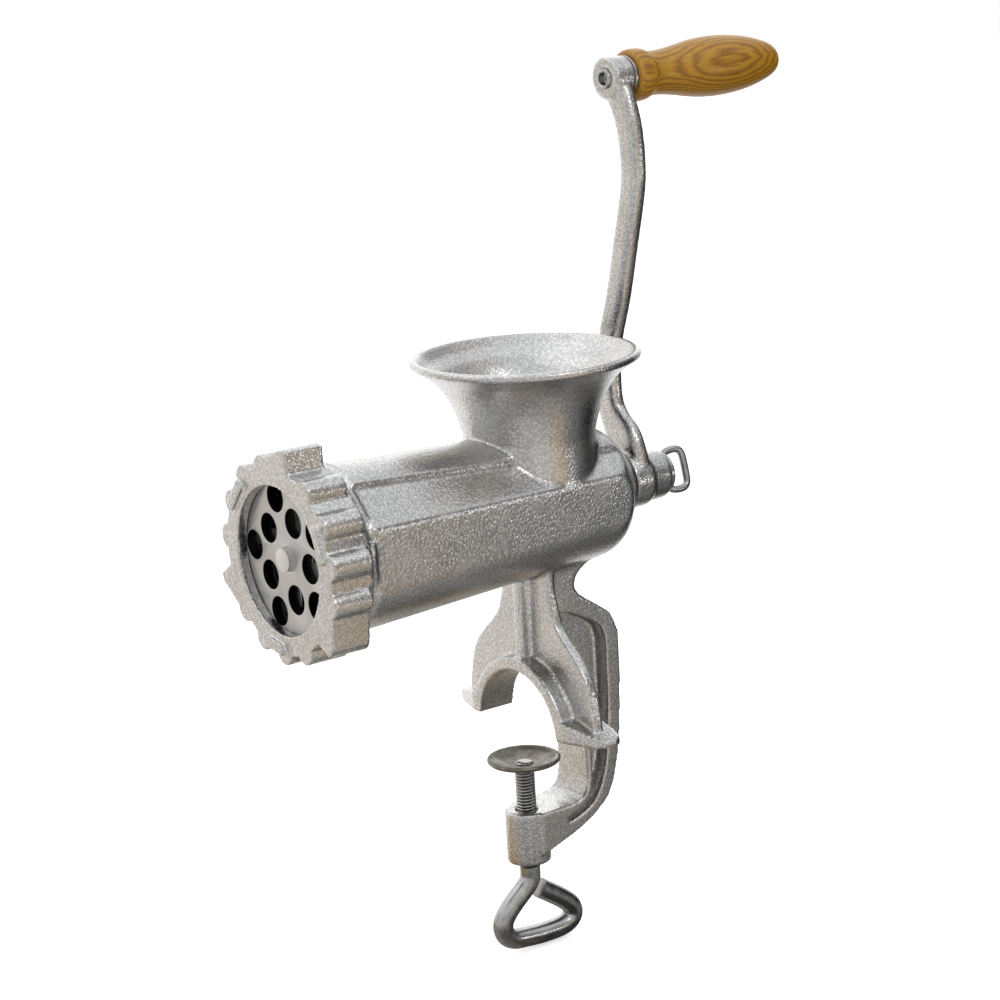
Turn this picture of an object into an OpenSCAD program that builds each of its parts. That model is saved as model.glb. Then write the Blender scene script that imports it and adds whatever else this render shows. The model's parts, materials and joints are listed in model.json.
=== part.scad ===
// Hand cranked meat grinder that clamps to a table edge.
// The barrel runs along Y with its cutting plate towards -Y and its crank towards +Y.
// Z = 0 is the table top that the two feet stand on, and the clamp screw turns about the Z axis.

/* [Layout] */
// Height of the barrel axis above the table top
axis_h = 101; // [97:0.5:108]
// From the clamp screw axis to the front face of the ring nut
front_reach = 120; // [114:1:128]
// From the clamp screw axis to the back end of the rear bearing
rear_reach = 59; // [57:1:64]

/* [Barrel] */
// Radius of the barrel behind the ring nut
barrel_r = 37; // [36.6:0.1:38]
// Radius of the barrel where its rear end starts to close
barrel_rear_r = 30.5; // [29:0.5:32]
// Thickness of the cast barrel wall
barrel_wall = 4.6; // [4:0.1:5]
// Outer radius of the thread that takes the ring nut
thread_r = 37.2; // [36.9:0.1:37.6]
// Width of the raised strip along the top of the barrel
strip_w = 39; // [34:1:44]
// Radius of the rear bearing boss
bearing_boss_r = 18.5; // [17:0.5:20]
// Length of the rear bearing boss
bearing_boss_len = 5; // [4:0.5:7]
// Length of the rounded rear end of the barrel
dome_len = 13; // [11:0.5:15]

/* [Hopper] */
// From the clamp screw axis to the hopper axis, towards the crank
hopper_y = 13; // [9:0.5:13]
// Height of the hopper rim above the barrel axis
hopper_h = 67.5; // [62:0.5:76]
// Outer radius of the hopper rim
hopper_rim_r = 51; // [46:0.5:51]
// Outer radius of the hopper where it leaves the barrel
hopper_neck_r = 29; // [27:0.5:30]
// Thickness of the hopper wall
hopper_wall = 4; // [3:0.25:5]
// Height of the rolled rim
hopper_rim_h = 4.5; // [3.5:0.25:6]

/* [Legs and feet] */
// Radius of the arch between the feet
arch_r = 28.3; // [26:0.1:30]
// Depth of the arch centre below the table top
arch_drop = 2.3; // [1:0.1:4]
// Thickness of the rim that follows the arch
arch_rim = 5.7; // [4.5:0.1:7]
// Distance from the centre to the tip of each foot
foot_reach = 54.5; // [52:0.5:58]
// Length of each foot along the barrel
foot_len = 18.5; // [17:0.5:20]
// How far the feet reach in front of the clamp screw axis
foot_front = 2.5; // [2:0.25:4]
// Thickness of a foot at its root
foot_t = 9; // [8:0.25:10]
// Thickness of a foot at its tip
foot_tip_t = 4; // [3.5:0.25:6]
// Half width of the legs under the barrel
leg_neck_w = 17; // [16:0.5:19]
// Thickness of the leg plate
leg_t = 5; // [4:0.25:6]
// How far the leg plate is set back from the front of the arch rim
leg_setback = 8; // [7:0.25:9]
// Width of the rib down the middle of the legs
rib_w = 5.6; // [4:0.2:8]
// How far the rib stands out of the leg plate
rib_h = 5; // [3:0.25:6]

/* [C-frame] */
// Depth of the jaw behind the clamp screw axis
jaw_depth = 27.3; // [25:0.1:29]
// Height of the jaw between the feet and the clamp arm
jaw_h = 39.5; // [36:0.5:46]
// Thickness of the frame behind the jaw
frame_depth = 20.7; // [19:0.1:23]
// Width of the frame across its flanges
frame_w = 24; // [22:0.5:27]
// Thickness of the web between the flanges
web_t = 8; // [6:0.5:10]
// Thickness of the flanges
flange_t = 7.2; // [6:0.1:8]
// Thickness of the frame's inner flange, round the jaw
jaw_flange_t = 2.5; // [2:0.1:4]

/* [Clamp] */
// Radius of the clamp screw
clamp_screw_r = 4.9; // [4.6:0.05:5.2]
// Radius of the boss that the clamp screw turns in
clamp_boss_r = 10; // [9:0.25:11.5]
// Length of that boss
clamp_boss_len = 25; // [22:0.5:30]
// Radius of the pressed clamp pad
pad_r = 16.7; // [15:0.1:18]
// Drop of the pad's rim below the table top as drawn
pad_drop = 14.8; // [12:0.2:16]
// Depth of the dish in the pad
pad_dish = 3; // [2:0.25:4]
// Thickness of the pad's sheet
pad_t = 1.8; // [1.4:0.1:2.4]
// Straight length of the clamp screw below its boss
clamp_screw_tail = 6; // [4:0.5:12]
// Radius of the bent rod that makes the screw's eye
eye_rod_r = 4.7; // [4.2:0.1:4.9]
// Height of the triangular eye
eye_h = 31.5; // [27:0.5:36]
// Width of the triangular eye between the centres of its rods
eye_w = 40; // [36:0.5:48]

/* [Ring nut] */
// Length of the ring nut along the barrel
ring_len = 21; // [19:0.5:24]
// Radius of the opening in its lip
lip_r = 32; // [31:0.1:32.8]
// Thickness of the lip that holds the plate
lip_t = 5; // [4:0.25:6]
// Radius in the valleys between the grip lobes
ring_r = 40.6; // [40:0.1:42]
// Radius of each rounded grip lobe
lobe_r = 5.6; // [5:0.1:6.2]
// Radius of the circle through the lobe centres
lobe_ring_r = 39.6; // [39:0.1:40.4]
// Radius to the top of the three ratchet lugs
lug_r = 49.5; // [47:0.5:52]
// How far the lobes and lugs stop short of the ring nut's rear end
lobe_short = 2.4; // [1.5:0.1:3]
// Number of lobes and lugs together
lobe_count = 15; // [12:3:18]
// Angle of the first ratchet lug above level
lug_deg = 78; // [60:1:90]
// Length of each raised pad on the ring nut's front face
pad_len = 15; // [10:0.5:18]
// Width of each raised pad
pad_w = 5; // [3:0.25:6]
// Height of each raised pad
pad_h = 2; // [1.2:0.1:2.4]

/* [Cutting set] */
// Radius of the cutting plate
plate_r = 35; // [34.6:0.1:35.2]
// Thickness of the cutting plate
plate_t = 5; // [4:0.25:6]
// Radius of each hole in the plate
hole_r = 6.4; // [5:0.1:6.6]
// Radius of the inner ring of holes
hole_inner_r = 17.5; // [17:0.1:18.2]
// Radius of the outer ring of holes
hole_outer_r = 26.3; // [26:0.1:27]
// Number of holes in each ring
hole_count = 5; // [3:1:5]
// Radius of the stud that the plate turns on
stud_r = 5.2; // [4.6:0.1:5.6]
// How far the stud stands out of the plate
stud_out = 2.6; // [1.5:0.1:4]
// Width of the square that drives the knife
knife_square = 12; // [11:0.25:13]
// Thickness of the knife
knife_t = 9; // [8:0.25:10]
// Radius to the tips of the knife's blades
knife_r = 33; // [30:0.25:33.2]
// Radius of the knife's hub
knife_hub_r = 11.5; // [10.5:0.25:13]
// Width of each knife blade
blade_w = 9; // [7:0.25:11]
// Thickness of each knife blade
blade_t = 4.5; // [3.5:0.25:6]
// Radius of the pin that stops the plate turning
key_r = 1.5; // [1.2:0.05:1.6]
// Length of that pin
key_len = 12; // [9:0.5:12.5]

/* [Feed screw] */
// Pitch of the feed screw's flight
flight_pitch = 36; // [30:1:44]
// Angle that the flight covers at its root
flight_root_deg = 84; // [60:2:100]
// Angle that the flight covers at its crest
flight_crest_deg = 22; // [14:2:36]
// Core radius of the feed screw at its front
core_r = 15; // [13:0.5:17]
// Radius of the shaft in the rear bearing
shaft_r = 10; // [9:0.25:10.5]
// Width of the square end that takes the crank
crank_square = 14; // [12:0.25:14]
// Thickness of the thrust washer
thrust_t = 2.5; // [2:0.25:3]
// Outer radius of the rear bushing
bushing_r = 12.5; // [12:0.25:13.5]
// Thickness of the bushing's outer collar
bushing_collar_t = 2.5; // [2:0.25:3]

/* [Crank] */
// Radius that the grip turns on
crank_r = 181.5; // [160:0.5:200]
// Width of the crank arm
arm_w = 12.5; // [11:0.5:15]
// Thickness of the crank arm
arm_t = 8; // [7:0.25:8.5]
// Depth of the crank arm's rounded edges
arm_edge = 2.4; // [1:0.1:3]
// Length of the crank hub
hub_len = 23.2; // [21:0.2:26]
// Radius of the hub at the barrel
hub_r = 13; // [12.5:0.25:15]
// Radius of the hub at the thumb screw
hub_rear_r = 10.8; // [10.4:0.1:11]
// Radius of the crank's hub just behind the arm
hub_waist_r = 12; // [11.4:0.1:12]
// Sideways bow of the arm above the hub
bow_low = 13.3; // [10:0.1:15]
// Sideways bow of the arm below the grip, the other way
bow_high = 11; // [6:0.1:13]
// Radius of the boss that holds the grip
grip_boss_r = 9.3; // [8.6:0.1:11]
// Length of that boss
grip_boss_len = 10.7; // [9.5:0.1:12]

/* [Grip] */
// Length of the wooden grip
grip_len = 87; // [80:0.5:100]
// Largest radius of the grip
grip_r = 13.6; // [12:0.2:15]
// Radius of the bead at the crank end of the grip
bead_r = 11.6; // [10:0.2:12.5]
// Radius of the grip's neck
grip_neck_r = 9.7; // [8.6:0.1:10]
// Radius of the spindle that the grip turns on
spindle_r = 4; // [3.5:0.1:4.5]
// Thickness of the washer between the crank and the grip
grip_washer_t = 1.4; // [1:0.1:2]

/* [Thumb screw] */
// Radius of the screw that holds the crank on
thumb_screw_r = 4; // [3.5:0.1:4.5]
// Length of its threaded shank
thumb_screw_len = 20; // [16:0.5:22]
// Radius of its round collar
thumb_collar_r = 9; // [8:0.1:10]
// Thickness of that collar
thumb_collar_t = 2; // [1.5:0.1:3]
// Thickness of the washer under it
thumb_washer_t = 1.4; // [1:0.1:2]
// Radius of the rod in its loop
loop_rod_r = 1.8; // [1.5:0.1:2.2]
// Width of the loop over its rod centres
loop_w = 18.6; // [16:0.2:20]
// Height of the loop above the collar, to its rod centre
loop_h = 12.4; // [10:0.2:15]
// Angle of the loop about the barrel axis, from level
loop_turn = 75; // [0:1:90]

/* [Hidden] */
$fn = 96;

// Overrun of every cut past the face it opens
over = 1;
// Gap between a plain face and the moving face beside it
face_gap = 0.3;
// Gap between the knife and the plate it scrapes
cut_gap = 0.1;
// Radial clearance of a shaft in its bore
run_gap = 0.08;
// Clearance of a square end in its square hole
square_gap = 0.15;
// Clearance between the male and female threads, both drawn plain
thread_gap = 0.3;
// Clearance round the cutting plate in the barrel's mouth
plate_gap = 0.15;
// How far the plate stands out of the barrel's mouth
plate_proud = 1.5;
// Gap between the ring nut and the shoulder of the barrel
shoulder_gap = 4.5;
// Depth of the relief behind the thread
relief_d = 1.6;
// Rounding of the barrel's shoulder
shoulder_edge = 2;
// Small chamfer on turned and cast edges
edge = 1;
// Radial gap between the feed screw's flight and its chamber
flight_gap = 0.8;
// Angle from one barrel corner to the middle of a facet
corner_deg = 22.5;

// Stations along the barrel axis, front to back
ring_y = -front_reach;
plate_y = ring_y + lip_t;
knife_y = plate_y + plate_t + cut_gap;
screw_y = knife_y + knife_t;
mouth_y = plate_y + plate_proud;
thread_end_y = ring_y + ring_len + relief_d;
shoulder_y = ring_y + ring_len + shoulder_gap;
dome_y = rear_reach - bearing_boss_len - dome_len;
chamber_end_y = rear_reach - bearing_boss_len - dome_len - shoulder_gap;
thrust_y = chamber_end_y - face_gap - thrust_t;
collar_y = rear_reach + bushing_collar_t;
hub_y = collar_y + face_gap;
hub_end_y = hub_y + hub_len;
arm_y = hub_y + hub_len / 3;
grip_boss_y = arm_y - grip_boss_len / 2;
grip_boss_end_y = arm_y + grip_boss_len / 2;
grip_y = grip_boss_end_y + grip_washer_t + face_gap;
spindle_in = grip_len * 0.82;
thumb_y = hub_end_y + thumb_washer_t;

mouth_r = plate_r + plate_gap;
chamber_r = barrel_r - barrel_wall;
chamber_rear_r = barrel_rear_r - barrel_wall;
taper_deg = atan((barrel_r - barrel_rear_r) * cos(corner_deg) / (dome_y - shoulder_y));
throat_r = hopper_neck_r - hopper_wall;
core_rear_r = shaft_r + thrust_t;
crank_z = axis_h + crank_r;

leg_y = leg_setback - foot_front;
foot_back_y = foot_len - foot_front;

// Shapes of round and blended outlines, as shares of the sizes that they follow
flare_shares = [[0, 0], [0.25, 0.09], [0.45, 0.19], [0.62, 0.32], [0.76, 0.46], [0.88, 0.63], [1, 0.88]];
dome_shares = [[0, 0], [0.35, 0.1], [0.62, 0.28], [0.8, 0.5], [0.92, 0.75], [1, 1]];
leg_shares = [[0.015, 0.62], [0.11, 0.49], [0.32, 0.41], [0.56, 0.325], [0.69, 0.24], [0.77, 0.12],
    [0.79, 0]];
foot_shares = [[0, 0], [0.22, 0], [0.8, 0.27], [0.96, 0.4], [1, 0.55], [1, 0.72], [0.92, 0.93], [0.75, 1],
    [0, 1]];
neck_shares = [[0.54, 0.73], [0.08, 0.68], [-0.1, 0.62], [0.03, 0.57], [0.46, 0.507], [0.82, 0.45],
    [1, 0.365]];
back_shares = [[1, 0.3], [0.92, -0.3], [0.8, -0.65], [0.56, -1], [-0.06, -1.26], [-0.85, -1.42],
    [-1.32, -1.5]];
jaw_shares = [[0.62, -1], [0.9, -0.94], [1, -0.78]];
pocket_shares = [[-0.27, 0.495], [0.2, 0.45], [0.53, 0.4], [0.65, 0.33]];
pocket_back_shares = [[0.65, 0.25], [0.59, -0.3], [0.46, -0.7], [0.2, -1], [-0.2, -1.14], [-0.6, -1.2]];
pocket_jaw_shares = [[-0.6, -1.13], [-0.2, -1.06], [0.05, -0.94], [0.12, -0.76]];
arm_shares = [[0, 0, 2], [-0.22, 0.09, 1.7], [-0.64, 0.135, 1.35], [-0.93, 0.175, 1.15], [-1, 0.22, 1.05],
    [-0.97, 0.27, 1], [-0.78, 0.36, 1], [-0.25, 0.47, 1], [0.3, 0.60, 1], [0.85, 0.72, 1], [1, 0.79, 1],
    [0.86, 0.88, 1.05], [0.45, 0.95, 1.1], [0, 1, 1.1]];
bead_shares = [[0, 0.94], [0.03, 1], [0.075, 1], [0.105, 0.95], [0.135, 0]];
belly_shares = [[0.2, 0.03], [0.27, 0.2], [0.36, 0.53], [0.46, 0.87], [0.57, 1], [0.66, 0.93],
    [0.74, 0.7]];
tip_shares = [[0.82, 0.83], [0.89, 0.7], [0.94, 0.59], [0.975, 0.46], [0.995, 0.29]];
eye_shares = [[0, 0], [-0.005, -0.1], [-0.085, -0.215], [-0.2, -0.33], [-0.35, -0.5],
    [-0.415, -0.65], [-0.4, -0.8], [-0.28, -0.925], [-0.16, -0.96], [0.135, -1], [0.44, -0.978],
    [0.56, -0.88], [0.565, -0.76], [0.49, -0.63], [0.315, -0.46], [0.16, -0.325], [0.11, -0.28]];
round_shares = [[1, 0], [0.3, 0.3], [0, 1]];
loop_shares = [[-0.4, -0.1], [-0.5, 0.35], [-0.5, 1], [0.5, 1], [0.5, 0.35], [0.4, -0.1]];

// A smooth curve through the points, with steps points between each pair
function spline(p, steps) = [
    for (i = [0 : len(p) - 2])
        let (a = p[max(i - 1, 0)], b = p[i], c = p[i + 1], d = p[min(i + 2, len(p) - 1)])
            for (k = [0 : steps - 1])
                let (t = k / steps)
                    b + (c - a) * t / 2 + (2 * a - 5 * b + 4 * c - d) * t * t / 2
                        + (3 * b - a - 3 * c + d) * t * t * t / 2,
    p[len(p) - 1]];

// A flat point from its radius and angle
function polar(r, deg) = r * [cos(deg), sin(deg)];

// The way along a path at one of its points
function way(p, i) =
    let (d = p[min(i + 1, len(p) - 1)] - p[max(i - 1, 0)])
        d / norm(d);

// Outline of a band along a flat path, whose points carry the band's width, less an inset on each side
function band(p, inset) = concat(
    [for (i = [0 : len(p) - 1]) side_point(p, i, p[i][2] / 2 - inset)],
    [for (i = [len(p) - 1 : -1 : 0]) side_point(p, i, inset - p[i][2] / 2)]);
function flat(q) = [q[0], q[1]];
function side_point(p, i, d) =
    let (a = flat(p[max(i - 1, 0)]), b = flat(p[min(i + 1, len(p) - 1)]), w = (b - a) / norm(b - a))
        flat(p[i]) + d * [w[1], -w[0]];

// A closed corner path with each inner corner replaced by an arc of n steps
function rounded(p, r, n) = [
    for (i = [0 : len(p) - 1])
        if (i == 0 || i == len(p) - 1) p[i]
        else
            let (u = (p[i - 1] - p[i]) / norm(p[i - 1] - p[i]),
                v = (p[i + 1] - p[i]) / norm(p[i + 1] - p[i]),
                half = acos(u * v) / 2, reach = r / tan(half),
                centre = p[i] + (u + v) / norm(u + v) * r / sin(half))
                for (k = [0 : n])
                    let (q = p[i] + u * reach * (1 - k / n) + v * reach * k / n)
                        centre + (q - centre) / norm(q - centre) * r];

// A round rod of radius r swept along a flat path in the YZ plane
module rod(path, r, sides = 12) {
    n = len(path);
    points = [
        for (i = [0 : n - 1])
            for (s = [0 : sides - 1])
                let (w = way(path, i), a = 360 * s / sides)
                    [r * cos(a), path[i][0] - w[1] * r * sin(a), path[i][1] + w[0] * r * sin(a)]];
    faces = concat(
        [for (i = [0 : n - 2]) for (s = [0 : sides - 1])
            [i * sides + s, i * sides + (s + 1) % sides, (i + 1) * sides + s]],
        [for (i = [0 : n - 2]) for (s = [0 : sides - 1])
            [i * sides + (s + 1) % sides, (i + 1) * sides + (s + 1) % sides, (i + 1) * sides + s]],
        [[for (s = [sides - 1 : -1 : 0]) s]],
        [[for (s = [0 : sides - 1]) (n - 1) * sides + s]]);
    polyhedron(points, faces);
}

// Children turned so that their Z axis is the barrel axis
module on_axis(y = 0) {
    translate([0, y, axis_h])
        rotate([-90, 0, 0])
            children();
}

// A round bar on the barrel axis
module bar(y0, y1, r0, r1 = 0) {
    on_axis(y0)
        cylinder(h = y1 - y0, r1 = r0, r2 = r1 > 0 ? r1 : r0);
}

// Cutter for a square hole on the barrel axis that takes a square of width w
module square_hole(y0, y1, w) {
    translate([0, (y0 + y1) / 2, axis_h])
        cube([w + square_gap, y1 - y0 + 2 * over, w + square_gap], center = true);
}

// A turned solid on the barrel axis, from a profile of radius and station
module turned(profile) {
    on_axis()
        rotate_extrude()
            polygon(profile);
}

// An outline in X and Z, made thick from y0 to y1
module plate_xz(y0, y1) {
    translate([0, y1, 0])
        rotate([90, 0, 0])
            linear_extrude(y1 - y0)
                children();
}

// An outline in Y and Z, made thick from x0 to x1
module plate_yz(x0, x1) {
    translate([x0, 0, 0])
        rotate([90, 0, 90])
            linear_extrude(x1 - x0)
                children();
}

// Cutter for one flat of the tapered eight sided barrel
module barrel_flat(turn) {
    translate([0, 0, axis_h])
        rotate([0, -turn, 0])
            translate([barrel_r * cos(corner_deg), shoulder_y, -barrel_r])
                rotate([0, 0, taper_deg])
                    translate([0, -over, 0])
                        cube([barrel_r, rear_reach - shoulder_y, 2 * barrel_r]);
}

// The barrel's outside: a tapered round body with flats, a raised top strip and a round belly
module barrel_outside() {
    difference() {
        turned(concat(
            [[0, shoulder_y], [barrel_r - shoulder_edge, shoulder_y],
                [barrel_r, shoulder_y + shoulder_edge]],
            [for (s = dome_shares)
                [barrel_rear_r - (barrel_rear_r - bearing_boss_r) * s[1], dome_y + dome_len * s[0]]],
            [[bearing_boss_r, rear_reach - edge], [bearing_boss_r - edge, rear_reach], [0, rear_reach]]));
        barrel_flat(0);
        barrel_flat(180);
        difference() {
            union() {
                barrel_flat(45);
                barrel_flat(135);
            }
            translate([-strip_w / 2, shoulder_y - 2 * over, axis_h])
                cube([strip_w, rear_reach - shoulder_y + 4 * over, 2 * barrel_r]);
        }
    }
    bar(mouth_y, thread_end_y, thread_r);
    bar(mouth_y, shoulder_y + over, thread_r - relief_d);
}

// The hopper's flared outside or inside, as a profile moved inwards by inset
function flare(inset) = [
    for (s = flare_shares)
        [hopper_neck_r - inset + (hopper_rim_r - hopper_neck_r) * s[1],
            axis_h + barrel_rear_r + (hopper_h - hopper_rim_h - barrel_rear_r) * s[0]]];

module hopper_outside() {
    rim_z = axis_h + hopper_h;
    translate([0, hopper_y, 0])
        rotate_extrude()
            polygon(concat([[0, axis_h], [hopper_neck_r, axis_h]], flare(0),
                [[hopper_rim_r, rim_z - hopper_rim_h * 0.7], [hopper_rim_r, rim_z - hopper_rim_h * 0.3],
                    [hopper_rim_r - hopper_rim_h * 0.3, rim_z], [0, rim_z]]));
}

module hopper_inside() {
    rim_z = axis_h + hopper_h;
    translate([0, hopper_y, 0])
        rotate_extrude()
            polygon(concat([[0, axis_h], [throat_r, axis_h]], flare(hopper_wall),
                [[hopper_rim_r - hopper_wall, rim_z - hopper_rim_h * 0.3],
                    [hopper_rim_r - hopper_wall * 0.7, rim_z],
                    [hopper_rim_r - hopper_wall * 0.7, rim_z + over], [0, rim_z + over]]));
}

// Front legs: a plate with a round arch below, its rim, a middle rib and two feet
module legs() {
    top_z = axis_h - barrel_rear_r + barrel_wall;
    half = spline([for (s = leg_shares) [leg_neck_w + (foot_reach - leg_neck_w) * s[0], axis_h * s[1]]], 3);
    difference() {
        union() {
            plate_xz(leg_y, leg_y + leg_t)
                polygon(concat([[leg_neck_w, top_z]], half,
                    [for (i = [len(half) - 1 : -1 : 0]) [-half[i][0], half[i][1]]], [[-leg_neck_w, top_z]]));
            plate_xz(leg_y - rib_h, leg_y + over)
                translate([-rib_w / 2, arch_r])
                    square([rib_w, top_z - arch_r]);
            translate([0, foot_back_y, -arch_drop])
                rotate([90, 0, 0])
                    cylinder(h = foot_len, r = arch_r + arch_rim);
            foot();
            mirror([1, 0, 0])
                foot();
        }
        translate([0, foot_back_y + over, -arch_drop])
            rotate([90, 0, 0])
                cylinder(h = foot_len + 2 * over, r = arch_r);
        translate([-foot_reach - over, -front_reach, -axis_h])
            cube([2 * foot_reach + 2 * over, 2 * front_reach, axis_h]);
    }
}

// One foot: its plan has a swept front corner and its top falls towards the tip
module foot() {
    wide = foot_reach - arch_r;
    root = arch_r - arch_drop;
    intersection() {
        linear_extrude(foot_t)
            polygon(concat([[root, foot_back_y], [root, -foot_front]],
                [for (s = foot_shares) [arch_r + wide * s[0], foot_len * s[1] - foot_front]]));
        plate_xz(-foot_front - over, foot_back_y + over)
            polygon([[0, 0], [foot_reach - foot_tip_t / 2, 0], [foot_reach - foot_tip_t / 8, foot_tip_t / 5],
                [foot_reach, foot_tip_t / 2], [foot_reach - foot_tip_t / 8, foot_tip_t * 0.8],
                [foot_reach - foot_tip_t / 2, foot_tip_t], [arch_r + arch_rim, foot_t], [0, foot_t]]);
    }
}

// Outline of the C-frame in Y and Z, from the barrel round the jaw to the clamp boss
function frame_outline() = concat(
    [[leg_y, axis_h - barrel_rear_r + barrel_wall]],
    spline([for (s = neck_shares) [jaw_depth + frame_depth * s[0], axis_h * s[1]]], 3),
    spline([for (s = back_shares) [jaw_depth + frame_depth * s[0], jaw_h * s[1]]], 3),
    [[0, -jaw_h]],
    spline([for (s = jaw_shares) [jaw_depth * s[0], jaw_h * s[1]]], 3),
    [[jaw_depth, foot_t], [foot_back_y + over, arch_r * 0.7], [leg_y, arch_r]]);

// Outline of the hollow on each side of the web
function pocket_outline() = concat(
    [[leg_y + leg_t, axis_h * 0.52]],
    spline([for (s = pocket_shares) [jaw_depth + frame_depth * s[0], axis_h * s[1]]], 3),
    spline([for (s = pocket_back_shares) [jaw_depth + frame_depth * s[0], jaw_h * s[1]]], 3),
    spline([for (s = pocket_jaw_shares) [jaw_depth + frame_depth * s[0], jaw_h * s[1]]], 3),
    [[jaw_depth + jaw_flange_t, -foot_t / 2], [jaw_depth + jaw_flange_t, foot_t],
        [foot_back_y + flange_t, arch_r], [leg_y + leg_t, arch_r + arch_rim]]);

module frame_side_pocket() {
    plate_yz(web_t / 2, frame_w)
        polygon(pocket_outline());
}

module c_frame() {
    difference() {
        union() {
            plate_yz(-frame_w / 2, frame_w / 2)
                polygon(frame_outline());
            translate([0, 0, -jaw_h - clamp_boss_len])
                cylinder(h = clamp_boss_len, r = clamp_boss_r);
        }
        frame_side_pocket();
        mirror([1, 0, 0])
            frame_side_pocket();
        translate([0, 0, -jaw_h - clamp_boss_len - over])
            cylinder(h = clamp_boss_len + 2 * over, r = clamp_screw_r + run_gap);
    }
}

module body_casting() {
    color("silver")
        difference() {
            union() {
                barrel_outside();
                hopper_outside();
                legs();
                c_frame();
            }
            bar(mouth_y - over, screw_y + edge, mouth_r);
            bar(screw_y, chamber_end_y, chamber_r, chamber_rear_r);
            bar(chamber_end_y - over, rear_reach + over, bushing_r);
            hopper_inside();
            translate([0, mouth_y - over, axis_h - mouth_r])
                rotate([-90, 0, 0])
                    cylinder(h = key_len + over, r = key_r);
            translate([0, foot_back_y + over, -arch_drop])
                rotate([90, 0, 0])
                    cylinder(h = foot_len + 2 * over, r = arch_r);
        }
}

module rear_bushing() {
    color("darkgoldenrod")
        difference() {
            union() {
                bar(chamber_end_y, rear_reach, bushing_r);
                bar(rear_reach, collar_y, bushing_r + bushing_collar_t);
            }
            bar(chamber_end_y - over, collar_y + over, shaft_r + run_gap);
        }
}

module plate_key() {
    color("gray")
        translate([0, mouth_y, axis_h - mouth_r])
            rotate([-90, 0, 0])
                cylinder(h = key_len, r = key_r);
}

module feed_screw() {
    flight_len = thrust_y - face_gap - screw_y;
    tip_r = chamber_r - flight_gap;
    tip_rear_r = chamber_rear_r - flight_gap;
    turns = flight_len / flight_pitch;
    color("silver")
        difference() {
            union() {
                bar(screw_y, thrust_y - face_gap, core_r, core_rear_r);
                on_axis(screw_y)
                    linear_extrude(flight_len, twist = 360 * turns, scale = tip_rear_r / tip_r,
                        slices = round(turns * 20), $fn = 16)
                        polygon([polar(core_r * 0.7, -flight_root_deg / 2),
                            polar(tip_r, -flight_crest_deg / 2), polar(tip_r, 0),
                            polar(tip_r, flight_crest_deg / 2), polar(core_r * 0.7, flight_root_deg / 2)]);
                bar(thrust_y - 2 * face_gap, hub_y, shaft_r);
                translate([0, (hub_y + hub_end_y) / 2 - over / 2, axis_h])
                    cube([crank_square, hub_len - over, crank_square], center = true);
            }
            bar(screw_y - over, screw_y + 2 * knife_square, knife_square / 2);
            bar(hub_end_y - thumb_screw_len - over, hub_end_y, thumb_screw_r + run_gap);
        }
}

module knife_stud() {
    color("lightgray") {
        bar(screw_y, screw_y + 2 * knife_square, knife_square / 2);
        translate([0, screw_y - (knife_t - cut_gap) / 2, axis_h])
            cube([knife_square, knife_t - cut_gap, knife_square], center = true);
        bar(plate_y - stud_out, screw_y, stud_r);
    }
}

module thrust_washer() {
    color("gray")
        difference() {
            bar(thrust_y, thrust_y + thrust_t, core_rear_r + thrust_t);
            bar(thrust_y - over, thrust_y + thrust_t + over, shaft_r + run_gap);
        }
}

module knife() {
    color("lightsteelblue")
        difference() {
            union() {
                bar(knife_y, screw_y, knife_hub_r);
                for (turn = [0 : 90 : 270])
                    translate([0, 0, axis_h])
                        rotate([0, turn, 0])
                            plate_xz(knife_y, knife_y + blade_t)
                                intersection() {
                                    circle(r = knife_r);
                                    translate([0, -blade_w])
                                        square([knife_r, blade_w]);
                                }
            }
            square_hole(knife_y, screw_y, knife_square);
        }
}

module cutting_plate() {
    color("gainsboro")
        difference() {
            bar(plate_y, plate_y + plate_t, plate_r);
            bar(plate_y - over, plate_y + plate_t + over, stud_r + run_gap);
            for (i = [0 : hole_count - 1]) {
                place_hole(hole_inner_r, (i + 0.95) * 360 / hole_count);
                place_hole(hole_outer_r, (i + 0.45) * 360 / hole_count);
            }
            translate([0, plate_y - over, axis_h - mouth_r])
                rotate([-90, 0, 0])
                    cylinder(h = plate_t + 2 * over, r = key_r + face_gap);
        }
}

module place_hole(r, turn) {
    translate([r * cos(turn), plate_y - over, axis_h + r * sin(turn)])
        rotate([-90, 0, 0])
            cylinder(h = plate_t + 2 * over, r = hole_r);
}

// Outline of the ring nut in X and Z: round lobes, with a ratchet lug in place of every few
module ring_outline() {
    step = 360 / lobe_count;
    for (i = [0 : lobe_count - 1])
        rotate(lug_deg + i * step)
            if (i % (lobe_count / 3) == 0)
                polygon([[0, 0], polar(ring_r, -step * 0.25), polar(lug_r, -step * 0.09),
                    polar(lug_r, step * 0.1), polar(ring_r + lobe_r / 2, step * 0.8)]);
            else
                translate([lobe_ring_r, 0])
                    circle(r = lobe_r);
}

module ring_nut() {
    color("silver")
        difference() {
            union() {
                bar(ring_y, ring_y + ring_len, ring_r);
                translate([0, 0, axis_h])
                    plate_xz(ring_y, ring_y + ring_len - lobe_short)
                        ring_outline();
                for (turn = [20 : 120 : 260])
                    translate([0, 0, axis_h])
                        rotate([0, -turn, 0])
                            translate([(lip_r + ring_r + pad_w / 2) / 2, ring_y, 0])
                                cube([pad_w, 2 * pad_h, pad_len], center = true);
            }
            bar(ring_y - 2 * pad_h, ring_y + ring_len, lip_r);
            bar(plate_y, ring_y + ring_len + over, thread_r + thread_gap);
        }
}

// Centre line of the crank arm in X and Z
function arm_path() = spline([for (s = arm_shares)
    [(s[0] < 0 ? bow_low : bow_high) * s[0], axis_h + crank_r * s[1], arm_w * s[2]]], 4);

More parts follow.
